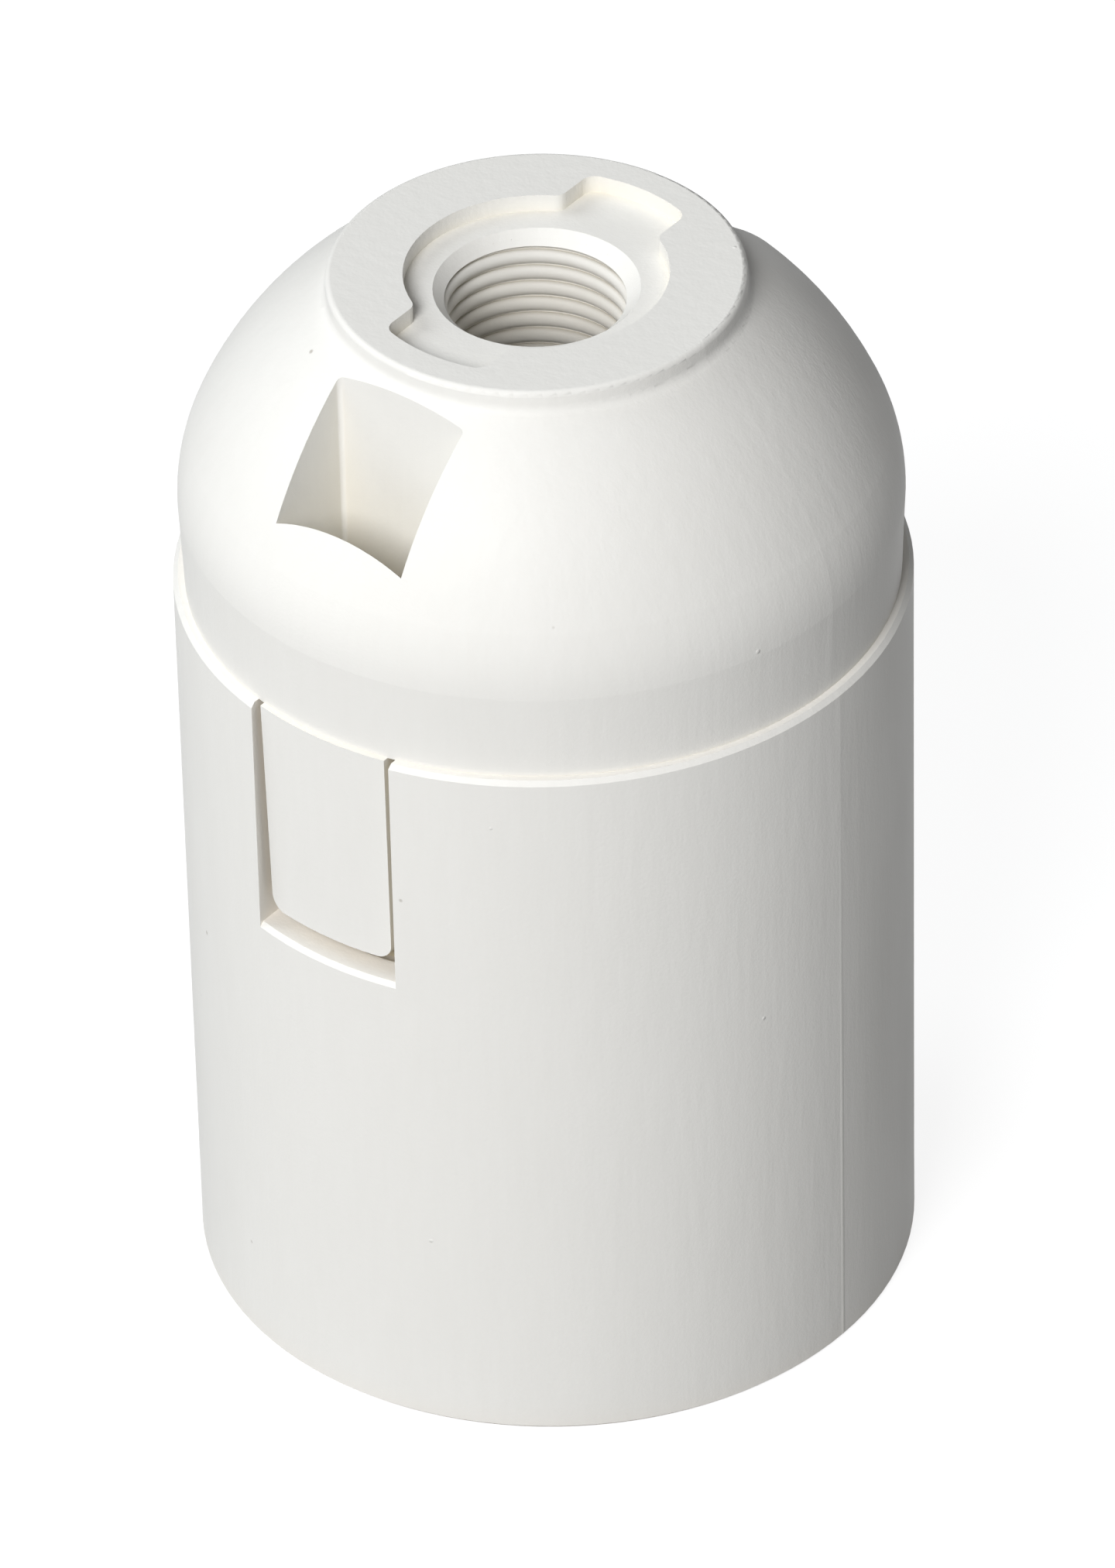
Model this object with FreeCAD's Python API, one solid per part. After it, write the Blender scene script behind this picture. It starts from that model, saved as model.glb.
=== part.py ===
import FreeCAD, Part
import math
import os

from FreeCAD import Vector

# E27 lamp holder in thermoplastic with a domed push-on cap and an M10 x 1 entry.
# Origin: centre of the open lamp end. +Z runs up to the threaded entry.
# The two tongues of the cap, their slots and the dome's pockets lie in the YZ plane. Sizes in mm.

# Lamp thread, as the major radius of the E27 screw
LAMP_THREAD_R = 13.4

# Sleeve: smooth skirt outside, lamp barrel inside
BARREL_WALL = 2.4
SKIRT_GAP = 1.9
SLEEVE_WALL = 1.8
SLEEVE_DRAFT = 0.15
SLEEVE_HEIGHT = 43.12
SLEEVE_EDGE = 0.25
SHELF_TOP = 28.0
SHELF_THICKNESS = 2.4
BARREL_FOOT = 3.2
BARREL_LEAD_IN = 0.8
CHAMBER_DEPTH = 10.8
CHAMBER_STEP = 1.0
WEB_THICKNESS = 1.2
WEB_FOOT = 6.0
WEB_COUNT = 6

# Cap: belly, shoulder, crown and collar
RIM_LEDGE = 0.6
BELLY_SWELL = 0.2
BELLY_RISE = 4.98
SHOULDER_ROUND = 9.4
CROWN_CENTRE_DROP = 4.1
CAP_WALL = 2.15
CAVITY_CENTRE_DROP = 3.2
CAP_CEILING = 2.1
COLLAR_R = 11.0
COLLAR_HEIGHT = 1.12
COLLAR_EDGE = 0.3
COLLAR_COVE = 0.35

# Locating ring under the cap, inside the sleeve's rim
RING_CLEARANCE = 0.3
RING_DEPTH = 2.2
RING_WALL = 1.3

# Keyed recess round the entry, two lobes in the plane of the tongues
KEY_DEPTH = 1.0
KEY_CENTRE_R = 6.95
KEY_LOBE_R = 9.2
KEY_LOBE_WIDTH = 6.35
KEY_LOBE_ROUND = 0.8
KEY_NECK_ROUND = 0.7

# M10 x 1 entry, as the major radius of its thread
ENTRY_R = 5.0
ENTRY_CHAMFER = 0.42
ENTRY_LENGTH = 10.2
ENTRY_BOSS_WALL = 2.2

# Tongues of the cap and the sleeve's slots for them
TONGUE_WIDTH = 8.16
TONGUE_TAPER = 0.13
TONGUE_STEP = 0.3
TONGUE_ROOT = 0.1
TONGUE_LEAN = 0.3
TONGUE_TIP_THICKNESS = 1.98
TONGUE_CORNER = 0.9
TONGUE_END_GAP = 1.12
SLOT_SIDE_GAP = 0.44
SLOT_LEDGE = 0.8
SLOT_LEDGE_EDGE = 0.25

# Pockets that are plunged into the dome behind each tongue
POCKET_REACH = 5.52
POCKET_WIDTH = 8.2
POCKET_CORNER = 0.25
POCKET_FLOOR_RISE = 2.5
POCKET_WALL = 1.4

# Terminal block on the sleeve's shelf
BLOCK_SIDE_GAP = 0.55
BLOCK_FLOOR = 2.4
TOWER_WALL = 1.6
TOWER_HEADROOM = 4.1
BARRIER_THICKNESS = 1.4
BARRIER_END_GAP = 6.97
BARRIER_HEADROOM = 5.0
GUIDE_GAP = 0.15
GUIDE_HEIGHT = 8.0
GUIDE_WIDTH = 1.6
KEY_RIB_WIDTH = 2.4
KEY_RIB_DEPTH = 1.2

# Pillar terminals
PILLAR_INSET = 7.37
PILLAR_WIDTH = 6.0
PILLAR_LENGTH = 8.0
PILLAR_HEIGHT = 8.0
PILLAR_GAP = 0.12
PILLAR_EDGE = 0.3
WIRE_BORE_R = 1.6
WIRE_BORE_DROP = 4.8
WIRE_FUNNEL = 1.4
SHANK_R = 1.3
SHANK_HEAD_R = 2.0
SHANK_HEAD_HEIGHT = 0.6
SHANK_FIT = 0.05

# Terminal screws, M3 with a slotted cheese head
SCREW_R = 1.45
SCREW_FIT = 0.05
SCREW_BACKED_OFF = 0.9
SCREW_HEAD_R = 2.5
SCREW_HEAD_HEIGHT = 1.8
SCREW_EDGE = 0.25
SCREW_SLOT_WIDTH = 0.8
SCREW_SLOT_DEPTH = 0.9

# Contact leaves
LEAF_THICKNESS = 0.4
LEAF_TAIL = 2.6
CENTRE_LEAF_WIDTH = 5.0
CENTRE_LEAF_FLAT = 4.4
CENTRE_LEAF_DROP = 2.7
CENTRE_PAD = 3.4
CENTRE_CURL = 1.6
CENTRE_CURL_RISE = 0.9
SIDE_LEAF_WIDTH = 4.2
SIDE_LEAF_BACK_GAP = 0.35
SIDE_LEAF_STRAIGHT = 3.4
SIDE_LEAF_BULGE = 1.55
SIDE_LEAF_RAMP = 2.8

# Places that follow from the sizes above
BARREL_R = LAMP_THREAD_R + BARREL_WALL
CHAMBER_R = LAMP_THREAD_R + CHAMBER_STEP
CHAMBER_FLOOR = SHELF_TOP - CHAMBER_DEPTH
SKIRT_INNER_R = BARREL_R + SKIRT_GAP
SLEEVE_RIM_R = SKIRT_INNER_R + SLEEVE_WALL
SLEEVE_FOOT_R = SLEEVE_RIM_R - SLEEVE_DRAFT
CAP_BASE_R = SLEEVE_RIM_R - RIM_LEDGE
BELLY_R = CAP_BASE_R + BELLY_SWELL
BELLY_Z = SLEEVE_HEIGHT + BELLY_RISE
SHOULDER_CENTRE = BELLY_R - SHOULDER_ROUND
CROWN_R = SHOULDER_ROUND + math.hypot(SHOULDER_CENTRE, CROWN_CENTRE_DROP)
CROWN_Z = BELLY_Z - CROWN_CENTRE_DROP
COLLAR_FOOT = CROWN_Z + math.sqrt(CROWN_R ** 2 - COLLAR_R ** 2)
COLLAR_TOP = COLLAR_FOOT + COLLAR_HEIGHT
RING_R = SKIRT_INNER_R - RING_CLEARANCE
CAVITY_R = RING_R - RING_WALL
KEY_FLOOR = COLLAR_TOP - KEY_DEPTH
CEILING_Z = KEY_FLOOR - CAP_CEILING
TONGUE_TOP_R = CAP_BASE_R + TONGUE_STEP
TONGUE_TIP_R = TONGUE_TOP_R - TONGUE_LEAN
TONGUE_INNER = TONGUE_TIP_R - TONGUE_TIP_THICKNESS
SLOT_FLOOR = SHELF_TOP + SLOT_LEDGE
POCKET_BACK = TONGUE_INNER - POCKET_REACH
POCKET_FLOOR = SLEEVE_HEIGHT + POCKET_FLOOR_RISE
BLOCK_R = TONGUE_INNER - BLOCK_SIDE_GAP
BLOCK_TOP = SHELF_TOP + BLOCK_FLOOR
PILLAR_X = BLOCK_R - PILLAR_INSET
PILLAR_TOP = BLOCK_TOP + PILLAR_HEIGHT
WIRE_Z = PILLAR_TOP - WIRE_BORE_DROP
SCREW_SEAT = PILLAR_TOP + SCREW_BACKED_OFF


def line(a, b):
    return Part.LineSegment(Vector(a[0], 0, a[1]), Vector(b[0], 0, b[1])).toShape()


def bend(centre, radius, start, end):
    # Arc of a turned profile, between two angles in degrees
    places = []
    for angle in (start, (start + end) / 2, end):
        turn = math.radians(angle)
        places.append(Vector(centre[0] + radius * math.cos(turn), 0, centre[1] + radius * math.sin(turn)))
    return Part.Arc(*places).toShape()


def outline(*corners):
    # Straight edges through all the corners
    return [line(a, b) for a, b in zip(corners, corners[1:])]


def turned(edges):
    # Solid of revolution about Z from a closed profile in the XZ half plane
    return Part.Face(Part.Wire(edges)).revolve(Vector(), Vector(0, 0, 1), 360)


def block(x0, x1, y0, y1, z0, z1):
    return Part.makeBox(x1 - x0, y1 - y0, z1 - z0, Vector(x0, y0, z0))


def about_z(shape, angle):
    copy = shape.copy()
    copy.rotate(Vector(), Vector(0, 0, 1), angle)
    return copy


def both_sides(shape):
    # The same feature at -Y and +Y
    return shape.fuse(about_z(shape, 180))


def sleeve_body():
    # Skirt, shelf and barrel turned as one profile: the skirt hangs outside, the barrel inside
    foot_inner = SLEEVE_FOOT_R - SLEEVE_WALL
    shelf_under = SHELF_TOP - SHELF_THICKNESS
    return turned(outline(
        (foot_inner, 0),
        (SLEEVE_FOOT_R - SLEEVE_EDGE, 0),
        (SLEEVE_FOOT_R, SLEEVE_EDGE),
        (SLEEVE_RIM_R, SLEEVE_HEIGHT - SLEEVE_EDGE),
        (SLEEVE_RIM_R - SLEEVE_EDGE, SLEEVE_HEIGHT),
        (SKIRT_INNER_R, SLEEVE_HEIGHT),
        (SKIRT_INNER_R, SHELF_TOP),
        (CHAMBER_R, SHELF_TOP),
        (CHAMBER_R, CHAMBER_FLOOR),
        (LAMP_THREAD_R, CHAMBER_FLOOR),
        (LAMP_THREAD_R, BARREL_FOOT + BARREL_LEAD_IN),
        (LAMP_THREAD_R + BARREL_LEAD_IN, BARREL_FOOT),
        (BARREL_R, BARREL_FOOT),
        (BARREL_R, shelf_under),
        (foot_inner, shelf_under),
        (foot_inner, 0),
    ))


def webs():
    # Thin radial walls that tie the barrel to the skirt
    middle = (SLEEVE_FOOT_R - SLEEVE_WALL + BARREL_R) / 2
    reach = SLEEVE_FOOT_R - SLEEVE_WALL - BARREL_R + 1.0
    web = block(middle - reach / 2, middle + reach / 2, -WEB_THICKNESS / 2, WEB_THICKNESS / 2,
                WEB_FOOT, SHELF_TOP - SHELF_THICKNESS / 2)
    return [about_z(web, 360 / WEB_COUNT * step) for step in range(WEB_COUNT)]


def guide_ribs():
    # Four ribs centre the terminal block, and two deeper ones on X key it against turning
    top = SHELF_TOP + GUIDE_HEIGHT
    outer = SKIRT_INNER_R + SLEEVE_WALL / 2
    guide = block(BLOCK_R + GUIDE_GAP, outer, -GUIDE_WIDTH / 2, GUIDE_WIDTH / 2, SHELF_TOP - 0.5, top)
    key = block(BLOCK_R - KEY_RIB_DEPTH, outer, -KEY_RIB_WIDTH / 2, KEY_RIB_WIDTH / 2,
                SHELF_TOP - 0.5, top)
    ribs = [about_z(guide, angle) for angle in (45, 135, 225, 315)]
    ribs += [about_z(key, angle) for angle in (0, 180)]
    return ribs


def slot_cutter():
    # Slot for one tongue, open at the rim, with the outer edge of its ledge broken
    half = TONGUE_WIDTH / 2 + SLOT_SIDE_GAP
    inside = SKIRT_INNER_R - SLEEVE_WALL
    outside = SLEEVE_RIM_R + SLEEVE_WALL
    face_r = SLEEVE_FOOT_R + SLEEVE_DRAFT * SLOT_FLOOR / SLEEVE_HEIGHT
    edge = SLOT_LEDGE_EDGE
    profile = turned(outline(
        (inside, SLOT_FLOOR), (face_r - edge, SLOT_FLOOR), (face_r, SLOT_FLOOR - edge),
        (outside, SLOT_FLOOR - edge), (outside, SLEEVE_HEIGHT + edge), (inside, SLEEVE_HEIGHT + edge),
        (inside, SLOT_FLOOR)))
    return profile.common(block(-half, half, -outside, 0, 0, SLEEVE_HEIGHT + edge))


def sleeve():
    body = sleeve_body().fuse(webs() + guide_ribs())
    return body.cut(both_sides(slot_cutter())).removeSplitter()


def cap_outside():
    # Belly, shoulder, crown and collar as one turned solid that stands on the sleeve's rim
    join = math.degrees(math.atan2(CROWN_CENTRE_DROP, SHOULDER_CENTRE))
    cove_r = COLLAR_R + COLLAR_COVE
    end = math.degrees(math.acos(cove_r / CROWN_R))
    cove_foot = CROWN_Z + math.sqrt(CROWN_R ** 2 - cove_r ** 2)
    cove_top = COLLAR_FOOT + COLLAR_COVE
    round_z = COLLAR_TOP - COLLAR_EDGE
    edges = outline((0, COLLAR_TOP), (0, SLEEVE_HEIGHT), (CAP_BASE_R, SLEEVE_HEIGHT), (BELLY_R, BELLY_Z))
    edges.append(bend((SHOULDER_CENTRE, BELLY_Z), SHOULDER_ROUND, 0, join))
    edges.append(bend((0, CROWN_Z), CROWN_R, join, end))
    edges.append(Part.Arc(Vector(cove_r, 0, cove_foot), Vector(COLLAR_R + COLLAR_COVE / 4, 0, COLLAR_FOOT),
                          Vector(COLLAR_R, 0, cove_top)).toShape())
    edges.append(line((COLLAR_R, cove_top), (COLLAR_R, round_z)))
    edges.append(bend((COLLAR_R - COLLAR_EDGE, round_z), COLLAR_EDGE, 0, 90))
    edges.append(line((COLLAR_R - COLLAR_EDGE, COLLAR_TOP), (0, COLLAR_TOP)))
    return turned(edges)


def cap_cavity():
    # Hollow of the cap: the locating ring's bore, then a roof in two tapers with a flat ceiling
    roof_r = BELLY_R - CAP_WALL
    roof_z = BELLY_Z - CAVITY_CENTRE_DROP
    end = math.asin((CEILING_Z - roof_z) / roof_r)
    foot = SLEEVE_HEIGHT - RING_DEPTH - CAP_WALL
    return turned(outline(
        (0, foot),
        (CAVITY_R, foot),
        (CAVITY_R, roof_z - roof_r + CAVITY_R),
        (roof_r, roof_z),
        (roof_r * math.cos(end / 2), roof_z + roof_r * math.sin(end / 2)),
        (roof_r * math.cos(end), CEILING_Z),
        (0, CEILING_Z),
        (0, foot),
    ))


def tongue():
    # Flat inside, turned outside with a small step under the dome's edge, leaning inwards and
    # narrowing to a tip with rounded corners
    tip = SLOT_FLOOR + TONGUE_END_GAP
    half = TONGUE_WIDTH / 2
    root_r = CAP_BASE_R - TONGUE_ROOT
    top = SLEEVE_HEIGHT + TONGUE_ROOT
    lean = turned(outline(
        (0, tip), (TONGUE_TIP_R, tip), (TONGUE_TOP_R, SLEEVE_HEIGHT), (root_r, SLEEVE_HEIGHT),
        (root_r, top), (0, top), (0, tip)))
    tip_half = half - TONGUE_TAPER
    front = Part.Face(Part.Wire(outline(
        (-tip_half, tip), (tip_half, tip), (half, top), (-half, top), (-tip_half, tip))))
    blade = front.extrude(Vector(0, TONGUE_INNER - SLEEVE_RIM_R, 0))
    blade.translate(Vector(0, -TONGUE_INNER, 0))
    corners = [edge for edge in blade.Edges
               if edge.BoundBox.ZMax < tip + 0.01 and edge.BoundBox.XLength < 0.01]
    return blade.makeFillet(TONGUE_CORNER, corners).common(lean)


def pocket():
    # Plunge cut that opens through the dome, flush with the tongue's inner face
    half = POCKET_WIDTH / 2
    plunge = block(-half, half, -TONGUE_INNER, -POCKET_BACK, POCKET_FLOOR, COLLAR_TOP)
    uprights = [edge for edge in plunge.Edges
                if edge.BoundBox.ZLength > half and edge.BoundBox.YMin > -POCKET_BACK - 0.01]
    return plunge.makeFillet(POCKET_CORNER, uprights)


def pocket_walls():
    # Wall round a pocket, left standing in the cap's hollow
    half = POCKET_WIDTH / 2 + POCKET_WALL
    return block(-half, half, -CAP_BASE_R, -POCKET_BACK + POCKET_WALL, POCKET_FLOOR - POCKET_WALL, COLLAR_TOP)


def key_recess():
    # Round well with a parallel-sided slot across it, rounded where the two meet
    depth = 2 * KEY_DEPTH
    half = KEY_LOBE_WIDTH / 2
    slot = block(-half, half, -KEY_LOBE_R, KEY_LOBE_R, KEY_FLOOR, KEY_FLOOR + depth)
    slot = slot.common(Part.makeCylinder(KEY_LOBE_R, depth, Vector(0, 0, KEY_FLOOR)))
    corners = [edge for edge in slot.Edges
               if abs(edge.CenterOfMass.x) > half - 0.01 and edge.BoundBox.ZLength > depth / 2]
    slot = slot.makeFillet(KEY_LOBE_ROUND, corners)
    well = slot.fuse(Part.makeCylinder(KEY_CENTRE_R, depth, Vector(0, 0, KEY_FLOOR))).removeSplitter()
    necks = [edge for edge in well.Edges
             if edge.BoundBox.ZLength > depth / 2 and edge.Length < depth * 1.01
             and math.hypot(edge.CenterOfMass.x, edge.CenterOfMass.y) < KEY_CENTRE_R + 0.01]
    return well.makeFillet(KEY_NECK_ROUND, necks)


def entry_bore():
    # Bore for the threaded tube, with a chamfered mouth on the recess floor
    chamfer = ENTRY_CHAMFER
    foot = KEY_FLOOR - ENTRY_LENGTH - chamfer
    top = COLLAR_TOP + chamfer
    return turned(outline(
        (0, foot), (ENTRY_R, foot), (ENTRY_R, KEY_FLOOR - chamfer), (ENTRY_R + chamfer, KEY_FLOOR),
        (ENTRY_R + chamfer, top), (0, top), (0, foot)))


def cap():
    boss_foot = KEY_FLOOR - ENTRY_LENGTH
    boss = Part.makeCylinder(ENTRY_R + ENTRY_BOSS_WALL, ENTRY_LENGTH, Vector(0, 0, boss_foot))
    hollow = cap_cavity().cut([both_sides(pocket_walls()), boss])
    ring = Part.makeCylinder(RING_R, RING_DEPTH, Vector(0, 0, SLEEVE_HEIGHT - RING_DEPTH))
    body = cap_outside().fuse([ring, both_sides(tongue())])
    return body.cut([hollow, both_sides(pocket()), key_recess(), entry_bore()]).removeSplitter()


def shank_hole():
    # Hole for the staked shank of the pillar on +X, through the block and the leaf under it
    return Part.makeCylinder(SHANK_R + SHANK_FIT, 2 * BLOCK_FLOOR + LEAF_THICKNESS,
                             Vector(PILLAR_X, 0, SHELF_TOP - BLOCK_FLOOR))


def tower():
    # Open-topped box round the pillar on +X, with a funnel for the wire on its -Y side
    half_x = PILLAR_WIDTH / 2 + PILLAR_GAP
    half_y = PILLAR_LENGTH / 2 + PILLAR_GAP
    top = PILLAR_TOP + TOWER_HEADROOM
    wall = TOWER_WALL
    box = block(PILLAR_X - half_x - wall, PILLAR_X + half_x + wall, -half_y - wall, half_y + wall,
                BLOCK_TOP - BLOCK_FLOOR / 2, top)
    well = block(PILLAR_X - half_x, PILLAR_X + half_x, -half_y, half_y, BLOCK_TOP, top + wall)
    funnel = Part.makeCone(WIRE_BORE_R + WIRE_FUNNEL, WIRE_BORE_R, wall,
                           Vector(PILLAR_X, -half_y - wall, WIRE_Z), Vector(0, 1, 0))
    return box.cut([well, funnel])


def terminal_block():
    # Round floor on the sleeve's shelf, a tower for each pillar and a barrier between the poles
    floor = Part.makeCylinder(BLOCK_R, BLOCK_FLOOR, Vector(0, 0, SHELF_TOP))
    notch_half = KEY_RIB_WIDTH / 2 + GUIDE_GAP
    notch = block(BLOCK_R - KEY_RIB_DEPTH - GUIDE_GAP, SLEEVE_RIM_R, -notch_half, notch_half,
                  SHELF_TOP - GUIDE_GAP, BLOCK_TOP + GUIDE_GAP)
    hole = shank_hole()
    barrier_half = BLOCK_R - BARRIER_END_GAP
    barrier = block(-BARRIER_THICKNESS / 2, BARRIER_THICKNESS / 2, -barrier_half, barrier_half,
                    BLOCK_TOP - BLOCK_FLOOR / 2, PILLAR_TOP + BARRIER_HEADROOM)
    body = floor.fuse([both_sides(tower()), barrier])
    return body.cut([both_sides(notch), both_sides(hole)]).removeSplitter()


def pillar_terminal():
    # Drilled brass bar: wire bore along Y, tapped hole from above, shank staked under the leaf
    half_x = PILLAR_WIDTH / 2
    half_y = PILLAR_LENGTH / 2
    bar = block(PILLAR_X - half_x, PILLAR_X + half_x, -half_y, half_y, BLOCK_TOP, PILLAR_TOP)
    bar = bar.makeChamfer(PILLAR_EDGE, [edge for edge in bar.Edges if edge.BoundBox.ZLength < 0.01])
    head_top = SHELF_TOP - LEAF_THICKNESS
    shank = Part.makeCylinder(SHANK_R, BLOCK_TOP - head_top + PILLAR_EDGE, Vector(PILLAR_X, 0, head_top))
    head = Part.makeCone(SHANK_HEAD_R * 0.7, SHANK_HEAD_R, SHANK_HEAD_HEIGHT,
                         Vector(PILLAR_X, 0, head_top - SHANK_HEAD_HEIGHT))
    wire_bore = Part.makeCylinder(WIRE_BORE_R, 2 * PILLAR_LENGTH, Vector(PILLAR_X, -PILLAR_LENGTH, WIRE_Z),
                                  Vector(0, 1, 0))
    tapped = Part.makeCylinder(SCREW_R + SCREW_FIT, PILLAR_HEIGHT, Vector(PILLAR_X, 0, WIRE_Z))
    return bar.fuse([shank, head]).cut([wire_bore, tapped]).removeSplitter()


def terminal_screw():
    # Slotted cheese head, backed off from the pillar, with its tip just above the wire
    tip = WIRE_Z + WIRE_BORE_R / 2
    top = SCREW_SEAT + SCREW_HEAD_HEIGHT
    edge = SCREW_EDGE
    body = turned(outline(
        (0, tip), (SCREW_R - edge, tip), (SCREW_R, tip + edge), (SCREW_R, SCREW_SEAT),
        (SCREW_HEAD_R, SCREW_SEAT), (SCREW_HEAD_R, top - edge), (SCREW_HEAD_R - edge, top), (0, top),
        (0, tip)))
    half = SCREW_SLOT_WIDTH / 2
    reach = SCREW_HEAD_R + SCREW_SLOT_WIDTH
    body = body.cut(block(-half, half, -reach, reach, top - SCREW_SLOT_DEPTH, top + SCREW_SLOT_WIDTH))
    body.translate(Vector(PILLAR_X, 0, 0))
    return body


def strip(path, width):
    # Bent strip: the path is its outer face, and its thickness lies on the lamp's side
    edges = outline(*path)
    section = Part.Wire(edges).makeOffset2D(LEAF_THICKNESS, 0, True, True)
    bent = section.extrude(Vector(0, width, 0))
    bent.translate(Vector(0, -width / 2, 0))
    return bent


def centre_contact():
    # Leaf from the pillar on +X, sloping down to a pad on the lamp's axis, with a curled end
    under = SHELF_TOP
    pad_z = under - CENTRE_LEAF_DROP
    half_pad = CENTRE_PAD / 2
    leaf = strip([
        (PILLAR_X + LEAF_TAIL, under),
        (PILLAR_X - CENTRE_LEAF_FLAT, under),
        (half_pad, pad_z),
        (-half_pad, pad_z),
        (-half_pad - CENTRE_CURL, pad_z + CENTRE_CURL_RISE),
    ], CENTRE_LEAF_WIDTH)
    return leaf.cut(shank_hole())


def side_contact():
    # Leaf from the pillar on -X, down the chamber's wall, bulging towards the lamp's shell
    under = SHELF_TOP
    back = SIDE_LEAF_BACK_GAP - CHAMBER_R
    knee = under - SIDE_LEAF_STRAIGHT
    leaf = strip([
        (-PILLAR_X + LEAF_TAIL, under),
        (back, under),
        (back, knee),
        (back + SIDE_LEAF_BULGE, knee - SIDE_LEAF_RAMP),
        (back, knee - 2 * SIDE_LEAF_RAMP),
    ], SIDE_LEAF_WIDTH)
    return leaf.cut(about_z(shank_hole(), 180))


def main():
    os.makedirs("parts", exist_ok=True)
    live = pillar_terminal()
    screw = terminal_screw()
    nodes = {
        "sleeve": sleeve(),
        "cap": cap(),
        "terminal_block": terminal_block(),
        "live_terminal": live,
        "neutral_terminal": about_z(live, 180),
        "live_screw": screw,
        "neutral_screw": about_z(screw, 180),
        "centre_contact": centre_contact(),
        "side_contact": side_contact(),
    }
    for name, shape in nodes.items():
        shape.exportStep("parts/" + name + ".step")


main()
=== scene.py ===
import math
import bpy
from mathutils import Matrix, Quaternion, Vector


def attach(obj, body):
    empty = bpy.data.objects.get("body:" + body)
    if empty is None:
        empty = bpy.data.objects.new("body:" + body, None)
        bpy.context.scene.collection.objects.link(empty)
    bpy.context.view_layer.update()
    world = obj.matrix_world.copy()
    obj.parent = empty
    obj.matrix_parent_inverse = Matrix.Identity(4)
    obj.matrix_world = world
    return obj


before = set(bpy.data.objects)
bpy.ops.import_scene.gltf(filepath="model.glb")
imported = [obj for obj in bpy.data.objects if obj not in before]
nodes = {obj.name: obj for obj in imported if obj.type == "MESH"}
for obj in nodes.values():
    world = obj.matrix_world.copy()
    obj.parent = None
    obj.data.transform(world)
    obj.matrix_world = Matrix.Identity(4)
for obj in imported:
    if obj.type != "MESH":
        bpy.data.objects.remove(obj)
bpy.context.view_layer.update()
bpy.ops.object.select_all(action="DESELECT")

# Camera. A long lens, above the holder and to one side of its pocket, with the cap's
# top face well in view. The camera is turned a little about its own axis.
camera_rise = math.radians(38.37)
camera_round = math.radians(38.5)
camera_roll = math.radians(-1.33)
camera_distance = 0.8032
aim = Vector((0.000374, 0.000298, 0.02851))
camera_place = camera_distance * Vector((
    math.cos(camera_rise) * math.sin(camera_round),
    -math.cos(camera_rise) * math.cos(camera_round),
    math.sin(camera_rise)))
bpy.ops.object.camera_add(location=camera_place)
camera = bpy.context.object
camera.name = "camera"
camera.rotation_mode = "QUATERNION"
towards = (aim - camera_place).to_track_quat("-Z", "Y")
camera.rotation_quaternion = towards @ Quaternion((0, 0, 1), camera_roll)
camera.data.lens = 339
camera.data.sensor_width = 36
camera.data.clip_start = 0.01
camera.data.clip_end = 10
bpy.context.scene.camera = camera
bpy.context.scene.view_settings.view_transform = "Standard"


# Floor. A plain pale table top. It looks white and keeps the holder's soft shadow, yet to
# the rays that light the holder it is a dull grey, so it throws little light back up.
bpy.ops.mesh.primitive_plane_add(size=6, location=(0, 0, 0))
floor = bpy.context.object
floor.name = "floor"
floor_paint = bpy.data.materials.new("floor_paint")
floor_paint.use_nodes = True
tree = floor_paint.node_tree
tree.nodes.remove(tree.nodes["Principled BSDF"])
matt = tree.nodes.new("ShaderNodeBsdfDiffuse")
matt.inputs["Color"].default_value = (0.35, 0.35, 0.35, 1)
pale = tree.nodes.new("ShaderNodeBsdfDiffuse")
pale.inputs["Color"].default_value = (0.25, 0.25, 0.25, 1)
lift = tree.nodes.new("ShaderNodeEmission")
lift.inputs["Strength"].default_value = 0.87
white = tree.nodes.new("ShaderNodeAddShader")
path = tree.nodes.new("ShaderNodeLightPath")
seen_or_glossy = tree.nodes.new("ShaderNodeMath")
seen_or_glossy.operation = "MAXIMUM"
seen = tree.nodes.new("ShaderNodeMath")
seen.operation = "MAXIMUM"
choice = tree.nodes.new("ShaderNodeMixShader")
link = tree.links.new
link(path.outputs["Is Camera Ray"], seen_or_glossy.inputs[0])
link(path.outputs["Is Glossy Ray"], seen_or_glossy.inputs[1])
link(seen_or_glossy.outputs[0], seen.inputs[0])
link(path.outputs["Is Transmission Ray"], seen.inputs[1])
link(seen.outputs[0], choice.inputs[0])
link(matt.outputs[0], choice.inputs[1])
link(pale.outputs[0], white.inputs[0])
link(lift.outputs[0], white.inputs[1])
link(white.outputs[0], choice.inputs[2])
link(choice.outputs[0], tree.nodes["Material Output"].inputs["Surface"])
floor.data.materials.append(floor_paint)

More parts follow.
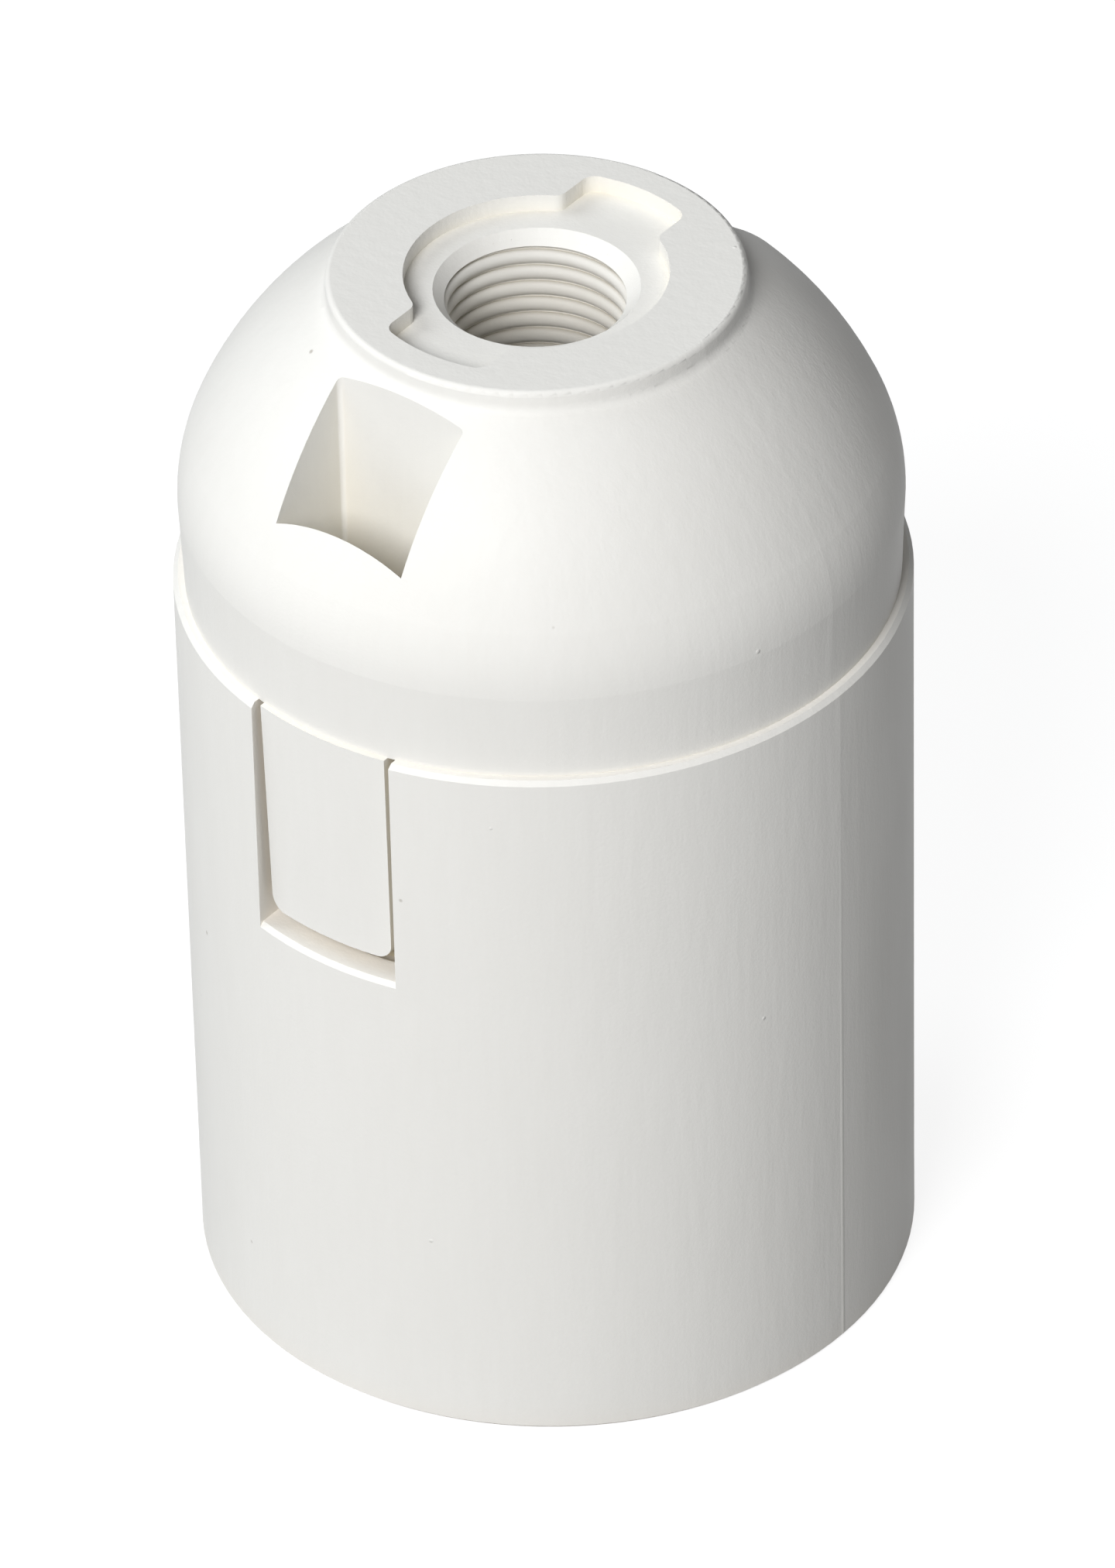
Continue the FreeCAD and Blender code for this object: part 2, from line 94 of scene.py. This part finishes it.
# Light. One broad soft lamp high in front of the pocket, a weak one far round to the left,
# and the plain light of a pale room.
world = bpy.data.worlds.new("room")
world.use_nodes = True
bpy.context.scene.world = world
room = world.node_tree.nodes["Background"]
room.inputs["Color"].default_value = (1, 1, 1, 1)
room.inputs["Strength"].default_value = 0.17
middle = Vector((0, 0, 0.03))
for name, turn, rise, distance, size, energy, colour in (
        ("main_light", 15.5, 38, 1.1, 0.5, 10.1, (1, 1, 1)),
        ("side_light", -76, 38, 1.1, 0.7, 4.2, (0.93, 0.97, 1))):
    turn = math.radians(turn)
    rise = math.radians(rise)
    lamp_place = middle + distance * Vector((
        math.cos(rise) * math.sin(turn), -math.cos(rise) * math.cos(turn), math.sin(rise)))
    bpy.ops.object.light_add(type="AREA", location=lamp_place)
    lamp = bpy.context.object
    lamp.name = name
    lamp.rotation_mode = "QUATERNION"
    lamp.rotation_quaternion = (middle - lamp_place).to_track_quat("-Z", "Y")
    lamp.data.shape = "DISK"
    lamp.data.size = size
    lamp.data.energy = energy
    lamp.data.color = colour
bpy.ops.object.select_all(action="DESELECT")


# Cap. A dome moulded in one with its collar, in a warm white thermoplastic with a satin
# face. The flow leaves faint upright clouds, a fine grain, a few burnt specks and some pale
# pimples. Hollows get painted shade: a darker warm beige mixed in where they are closed in.
def add_group(name, inputs, outputs):
    group = bpy.data.node_groups.new(name, "ShaderNodeTree")
    for socket, kind, value in inputs:
        made = group.interface.new_socket(name=socket, in_out="INPUT", socket_type=kind)
        made.default_value = value
    for socket, kind in outputs:
        group.interface.new_socket(name=socket, in_out="OUTPUT", socket_type=kind)
    start = group.nodes.new("NodeGroupInput")
    end = group.nodes.new("NodeGroupOutput")
    return group, start, end


def add_math(tree, operation, first, second, third=None):
    node = tree.nodes.new("ShaderNodeMath")
    node.operation = operation
    for socket, value in zip(node.inputs, (first, second, third)):
        if isinstance(value, bpy.types.NodeSocket):
            tree.links.new(value, socket)
        elif value is not None:
            socket.default_value = value
    return node.outputs[0]


def add_mix(tree, factor, first, second):
    node = tree.nodes.new("ShaderNodeMix")
    node.data_type = "RGBA"
    for socket, value in zip((node.inputs[0], node.inputs[6], node.inputs[7]), (factor, first, second)):
        if isinstance(value, bpy.types.NodeSocket):
            tree.links.new(value, socket)
        else:
            socket.default_value = value
    return node.outputs[2]


def add_range(tree, value, at_nought, at_one):
    node = tree.nodes.new("ShaderNodeMapRange")
    node.inputs["From Min"].default_value = at_nought
    node.inputs["From Max"].default_value = at_one
    tree.links.new(value, node.inputs["Value"])
    return node.outputs[0]


def add_noise(tree, place, scale, detail, stretch=(1, 1, 1)):
    mapping = tree.nodes.new("ShaderNodeMapping")
    mapping.inputs["Scale"].default_value = stretch
    tree.links.new(place, mapping.inputs["Vector"])
    noise = tree.nodes.new("ShaderNodeTexNoise")
    noise.inputs["Scale"].default_value = scale
    noise.inputs["Detail"].default_value = detail
    tree.links.new(mapping.outputs[0], noise.inputs["Vector"])
    return noise.outputs[0]


moulded, start, end = add_group(
    "moulded_skin",
    [("Color", "NodeSocketColor", (0.87, 0.86, 0.83, 1)),
     ("Painted Shade Color", "NodeSocketColor", (0.8, 0.72, 0.55, 1)),
     ("Speck Color", "NodeSocketColor", (0.3, 0.25, 0.2, 1)),
     ("Shade Reach", "NodeSocketFloat", 0.004),
     ("Roughness", "NodeSocketFloat", 0.42)],
    [("Color", "NodeSocketColor"), ("Roughness", "NodeSocketFloat"), ("Height", "NodeSocketFloat")])
place = moulded.nodes.new("ShaderNodeTexCoord").outputs["Object"]
clouds = add_noise(moulded, place, scale=260, detail=3, stretch=(1, 1, 0.28))
streaks = add_noise(moulded, place, scale=1500, detail=2, stretch=(1, 1, 0.16))
grain = add_noise(moulded, place, scale=5200, detail=2)
shade = add_math(moulded, "MULTIPLY_ADD", clouds, 0.5, add_math(moulded, "MULTIPLY", streaks, 0.5))
darker = moulded.nodes.new("ShaderNodeMix")
darker.data_type = "RGBA"
darker.blend_type = "MULTIPLY"
moulded.links.new(add_math(moulded, "MULTIPLY", shade, 0.32), darker.inputs[0])
moulded.links.new(start.outputs["Color"], darker.inputs[6])
darker.inputs[7].default_value = (0.86, 0.85, 0.83, 1)
cells = moulded.nodes.new("ShaderNodeTexVoronoi")
cells.inputs["Scale"].default_value = 260
moulded.links.new(place, cells.inputs["Vector"])
speck = add_range(moulded, cells.outputs["Distance"], at_nought=0.042, at_one=0.018)
# Painted shade: ambient occlusion over the reach mixes the second, darker warm colour into hollows, creases
# and the gaps between parts, in place of their shade and bounced light.
corner = moulded.nodes.new("ShaderNodeAmbientOcclusion")
corner.samples = 8
moulded.links.new(start.outputs["Shade Reach"], corner.inputs["Distance"])
painted_shade_mask = add_range(moulded, corner.outputs["AO"], at_nought=0.68, at_one=0.05)
with_painted_shade = add_mix(moulded, painted_shade_mask, darker.outputs[2], start.outputs["Painted Shade Color"])
kind = moulded.nodes.new("ShaderNodeSeparateColor")
moulded.links.new(cells.outputs["Color"], kind.inputs[0])
pimple = add_math(moulded, "MULTIPLY", add_math(moulded, "GREATER_THAN", kind.outputs[0], 0.45), speck)
burnt = add_math(moulded, "SUBTRACT", speck, pimple)
burnt_share = add_math(moulded, "MULTIPLY", burnt, 0.55)
specked = add_mix(moulded, burnt_share, with_painted_shade, start.outputs["Speck Color"])
moulded.links.new(specked, end.inputs["Color"])
clouded = add_math(moulded, "MULTIPLY_ADD", clouds, 0.16, start.outputs["Roughness"])
moulded.links.new(clouded, end.inputs["Roughness"])
texture = add_math(moulded, "MULTIPLY_ADD", grain, 0.35, add_math(moulded, "MULTIPLY", streaks, 0.65))
pimples = add_math(moulded, "MULTIPLY", pimple, 2.5)
moulded.links.new(add_math(moulded, "ADD", texture, pimples), end.inputs["Height"])


def mould(name, colour, painted_shade, shade_reach, roughness, bump):
    paint = bpy.data.materials.new(name)
    paint.use_nodes = True
    tree = paint.node_tree
    shader = tree.nodes["Principled BSDF"]
    skin = tree.nodes.new("ShaderNodeGroup")
    skin.name = "skin"
    skin.node_tree = moulded
    skin.inputs["Color"].default_value = colour
    skin.inputs["Painted Shade Color"].default_value = painted_shade
    skin.inputs["Shade Reach"].default_value = shade_reach
    skin.inputs["Roughness"].default_value = roughness
    relief = tree.nodes.new("ShaderNodeBump")
    relief.name = "relief"
    relief.inputs["Strength"].default_value = bump
    relief.inputs["Distance"].default_value = 0.0001
    tree.links.new(skin.outputs["Color"], shader.inputs["Base Color"])
    tree.links.new(skin.outputs["Roughness"], shader.inputs["Roughness"])
    tree.links.new(skin.outputs["Height"], relief.inputs["Height"])
    tree.links.new(relief.outputs[0], shader.inputs["Normal"])
    shader.inputs["Specular IOR Level"].default_value = 0.3
    return paint


def dress(node, paint):
    nodes[node].data.materials.clear()
    nodes[node].data.materials.append(paint)


# The second colour is painted shade: a warm beige mixed into the cap's hollows and creases by ambient
# occlusion.
housing = mould("white_thermoplastic", colour=(0.905, 0.898, 0.868, 1), painted_shade=(0.78, 0.72, 0.59, 1),
                shade_reach=0.0063, roughness=0.48, bump=0.33)
dress("cap", housing)

# Sleeve. The skirt and the lamp barrel, moulded in one in the cap's plastic. On each side
# the halves of its mould leave a faint upright line, which fades out halfway up.
sleeve_paint = housing.copy()
sleeve_paint.name = "white_thermoplastic_sleeve"
tree = sleeve_paint.node_tree
skin = tree.nodes["skin"]
# A paler painted shade for the sleeve's hollows and creases, over a shorter reach.
skin.inputs["Painted Shade Color"].default_value = (0.91, 0.85, 0.77, 1)
skin.inputs["Shade Reach"].default_value = 0.004
place = tree.nodes.new("ShaderNodeTexCoord").outputs["Object"]
axes = tree.nodes.new("ShaderNodeSeparateXYZ")
tree.links.new(place, axes.inputs[0])
from_line = add_math(tree, "ABSOLUTE", axes.outputs["Y"], None)
from_axis = add_math(tree, "ABSOLUTE", axes.outputs["X"], None)
at_line = add_range(tree, from_line, at_nought=0.00016, at_one=0.00005)
outside = add_math(tree, "GREATER_THAN", from_axis, 0.0188)
faded = add_range(tree, axes.outputs["Z"], at_nought=0.034, at_one=0.016)
line = add_math(tree, "MULTIPLY", add_math(tree, "MULTIPLY", at_line, outside), faded)
lined = add_mix(tree, add_math(tree, "MULTIPLY", line, 0.12), skin.outputs["Color"], (0.7, 0.68, 0.62, 1))
tree.links.new(lined, tree.nodes["Principled BSDF"].inputs["Base Color"])
raised = add_math(tree, "MULTIPLY_ADD", line, 0.6, skin.outputs["Height"])
tree.links.new(raised, tree.nodes["relief"].inputs["Height"])
dress("sleeve", sleeve_paint)

# Terminal block. A separate moulding in a heat-resistant plastic, a little greyer and duller
# than the housing, dropped over the ribs on the sleeve's shelf.
# Its second colour is painted shade, mixed into the block's hollows and creases by ambient occlusion.
block_plastic = mould("block_plastic", colour=(0.82, 0.80, 0.74, 1), painted_shade=(0.7, 0.62, 0.45, 1),
                      shade_reach=0.004, roughness=0.48, bump=0.35)
dress("terminal_block", block_plastic)


# Pillar terminals. Bars of drawn brass with the draw lines along the wire's way, a little
# tarnished, staked through the block.
worked, start, end = add_group(
    "worked_metal",
    [("Color", "NodeSocketColor", (0.8, 0.6, 0.3, 1)),
     ("Tarnish Color", "NodeSocketColor", (0.5, 0.35, 0.15, 1)),
     ("Roughness", "NodeSocketFloat", 0.3),
     ("Grain", "NodeSocketVector", (1, 1, 1))],
    [("Color", "NodeSocketColor"), ("Roughness", "NodeSocketFloat"), ("Height", "NodeSocketFloat")])
place = worked.nodes.new("ShaderNodeTexCoord").outputs["Object"]
along = worked.nodes.new("ShaderNodeMapping")
worked.links.new(place, along.inputs["Vector"])
worked.links.new(start.outputs["Grain"], along.inputs["Scale"])
lines = worked.nodes.new("ShaderNodeTexNoise")
lines.inputs["Scale"].default_value = 6000
lines.inputs["Detail"].default_value = 3
worked.links.new(along.outputs[0], lines.inputs["Vector"])
patches = add_noise(worked, place, scale=420, detail=4)
tarnish = add_range(worked, patches, at_nought=0.48, at_one=0.72)
tarnish_share = add_math(worked, "MULTIPLY", tarnish, 0.6)
tarnished = add_mix(worked, tarnish_share, start.outputs["Color"], start.outputs["Tarnish Color"])
worked.links.new(tarnished, end.inputs["Color"])
rough = add_math(worked, "MULTIPLY_ADD", tarnish, 0.15, start.outputs["Roughness"])
worked.links.new(add_math(worked, "MULTIPLY_ADD", lines.outputs[0], 0.18, rough), end.inputs["Roughness"])
worked.links.new(lines.outputs[0], end.inputs["Height"])


def work_metal(name, colour, tarnish, roughness, stretch):
    paint = bpy.data.materials.new(name)
    paint.use_nodes = True
    tree = paint.node_tree
    shader = tree.nodes["Principled BSDF"]
    shader.inputs["Metallic"].default_value = 1
    skin = tree.nodes.new("ShaderNodeGroup")
    skin.node_tree = worked
    skin.inputs["Color"].default_value = colour
    skin.inputs["Tarnish Color"].default_value = tarnish
    skin.inputs["Roughness"].default_value = roughness
    skin.inputs["Grain"].default_value = stretch
    relief = tree.nodes.new("ShaderNodeBump")
    relief.inputs["Strength"].default_value = 0.3
    relief.inputs["Distance"].default_value = 0.00003
    tree.links.new(skin.outputs["Color"], shader.inputs["Base Color"])
    tree.links.new(skin.outputs["Roughness"], shader.inputs["Roughness"])
    tree.links.new(skin.outputs["Height"], relief.inputs["Height"])
    tree.links.new(relief.outputs[0], shader.inputs["Normal"])
    return paint


brass = work_metal("drawn_brass", colour=(0.81, 0.62, 0.31, 1), tarnish=(0.55, 0.38, 0.18, 1),
                   roughness=0.22, stretch=(1, 0.05, 1))
dress("live_terminal", brass)
dress("neutral_terminal", brass)

# Clamping screws. M3 steel screws with a slotted cheese head, turned, then zinc plated and
# blued: a cool bright face with faint yellow clouds.
zinc = work_metal("zinc_plated_steel", colour=(0.72, 0.74, 0.76, 1), tarnish=(0.66, 0.62, 0.5, 1),
                  roughness=0.2, stretch=(0.15, 0.15, 1))
dress("live_screw", zinc)
dress("neutral_screw", zinc)

# Contact leaves. Bent strips of springy rolled brass with a thin nickel plate, which wears
# warm where a lamp rubs on it.
nickel = work_metal("nickel_plated_brass", colour=(0.77, 0.74, 0.69, 1), tarnish=(0.68, 0.58, 0.4, 1),
                    roughness=0.16, stretch=(0.05, 1, 1))
dress("centre_contact", nickel)
dress("side_contact", nickel)


# Thread of the entry. The cap's screwed bore for an M10 nipple or pendant tube, moulded in
# one with the cap: a rounded ridge of one millimetre pitch that winds down the bore and is
# cut back by the countersink at the mouth.
def wind_ridge(name, bore, depth, width, pitch, start, foot, top, mouth, flare):
    bpy.ops.mesh.primitive_circle_add(vertices=28, radius=width / 2, fill_type="NOTHING", location=(0, 0, 0))
    ridge = bpy.context.object
    ridge.name = name
    bpy.ops.object.mode_set(mode="EDIT")
    bpy.ops.mesh.select_all(action="SELECT")
    bpy.ops.transform.rotate(value=math.pi / 2, orient_axis="X", center_override=(0, 0, 0))
    bpy.ops.transform.resize(value=(2 * depth / width, 1, 1), center_override=(0, 0, 0))
    bpy.ops.transform.translate(value=(bore, 0, start))
    bpy.ops.mesh.select_all(action="DESELECT")
    bpy.ops.object.mode_set(mode="OBJECT")
    for corner in ridge.data.vertices:
        corner.select = corner.co.x > bore + 1e-6
    bpy.ops.object.mode_set(mode="EDIT")
    bpy.ops.transform.resize(value=(0.25, 1, 1), center_override=(bore, 0, 0))
    bpy.ops.object.mode_set(mode="OBJECT")
    wind = ridge.modifiers.new("wind", "SCREW")
    wind.axis = "Z"
    wind.angle = 2 * math.pi
    wind.screw_offset = pitch
    wind.iterations = math.ceil((top - start) / pitch) + 1
    wind.steps = 96
    wind.render_steps = 96
    bpy.ops.object.modifier_apply(modifier="wind")
    bpy.ops.object.mode_set(mode="EDIT")
    bpy.ops.mesh.select_all(action="SELECT")
    bpy.ops.mesh.fill_holes(sides=0)
    bpy.ops.mesh.select_all(action="SELECT")
    bpy.ops.mesh.normals_make_consistent(inside=False)
    bpy.ops.object.mode_set(mode="OBJECT")
    bpy.ops.mesh.primitive_cylinder_add(vertices=96, radius=2 * bore, depth=top - foot,
                                        location=(0, 0, (top + foot) / 2))
    core = bpy.context.object
    apex = mouth - flare * bore
    bpy.ops.mesh.primitive_cone_add(
        vertices=96, radius1=2 * bore if flare < 0 else 0, radius2=2 * bore if flare > 0 else 0,
        depth=2 * bore, location=(0, 0, apex + flare * bore))
    countersink = bpy.context.object
    bpy.context.view_layer.objects.active = ridge
    for tool, operation in ((core, "INTERSECT"), (countersink, "DIFFERENCE")):
        trim = ridge.modifiers.new("trim", "BOOLEAN")
        trim.operation = operation
        trim.solver = "EXACT"
        trim.object = tool
        bpy.ops.object.modifier_apply(modifier="trim")
        bpy.data.objects.remove(tool)
    bpy.ops.object.select_all(action="DESELECT")
    ridge.select_set(True)
    bpy.ops.object.shade_smooth_by_angle(angle=math.radians(40))
    bpy.ops.object.transform_apply(location=True, rotation=True, scale=True)
    bpy.ops.object.select_all(action="DESELECT")
    return ridge


# The thread takes a darker painted shade over a longer reach, so its grooves are painted dark beige where
# they lie in shade.
thread_paint = mould("white_thermoplastic_thread", colour=(0.905, 0.898, 0.868, 1),
                     painted_shade=(0.46, 0.42, 0.35, 1), shade_reach=0.01, roughness=0.48, bump=0.15)
entry_thread = wind_ridge("entry_thread", bore=0.005, depth=0.00032, width=0.00086, pitch=0.001,
                          start=0.04892, foot=0.0506, top=0.0606, mouth=0.06032, flare=1)
entry_thread.data.materials.append(thread_paint)
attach(entry_thread, "cap")

# Thread of the barrel. The round-crested ridge, about seven turns to the inch, that takes
# the cap of an E27 lamp. It is moulded in one with the sleeve.
lamp_thread = wind_ridge("lamp_thread", bore=0.0134, depth=0.00115, width=0.0031, pitch=0.003629,
                         start=0.0001, foot=0.0042, top=0.0166, mouth=0.0041, flare=-1)
lamp_thread.data.materials.append(thread_paint)
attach(lamp_thread, "holder")
